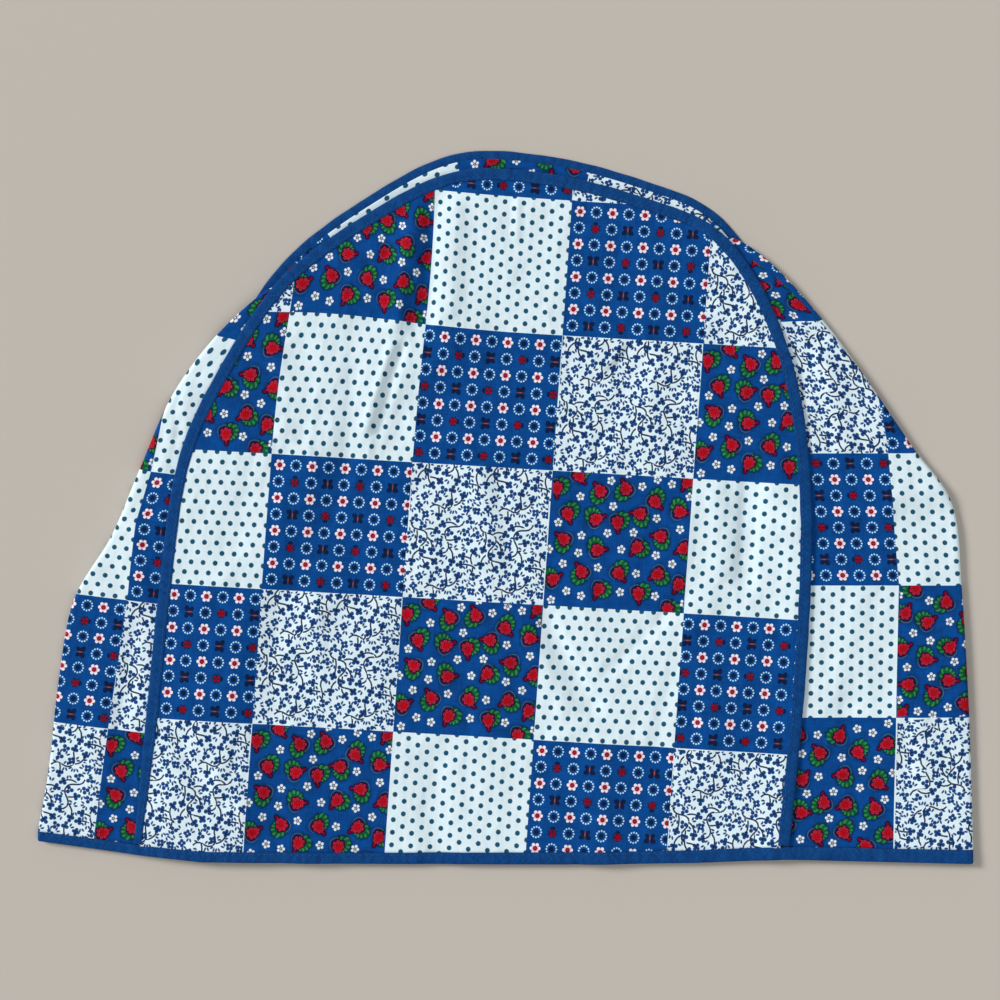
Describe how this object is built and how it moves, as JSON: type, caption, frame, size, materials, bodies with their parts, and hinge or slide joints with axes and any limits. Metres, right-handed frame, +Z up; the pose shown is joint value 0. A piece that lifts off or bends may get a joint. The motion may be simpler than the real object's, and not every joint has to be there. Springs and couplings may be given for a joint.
{
  "type": "stand mixer cover",
  "caption": "Dome-shaped fabric cover for a stand mixer, lying flat with its gusset folded out at the sides and its seam and hem edges bound with bias tape.",
  "frame": {"origin": "on the surface it lies on, under the middle of the cover's overall box", "axes": "+X along the hem towards the right fold, +Y from the hem towards the top of the dome, +Z up from the surface"},
  "size_m": [0.4932, 0.3772, 0.0083],
  "materials": {
    "printed_cotton": "plain-weave printed cotton, matt",
    "bias_tape": "plain-weave cotton tape, matt"
  },
  "bodies": {
    "root": {"front_panel": "printed_cotton", "back_panel": "printed_cotton", "gusset": "printed_cotton", "front_binding": "bias_tape", "back_binding": "bias_tape", "hem_binding": "bias_tape"}
  },
  "joints": []
}
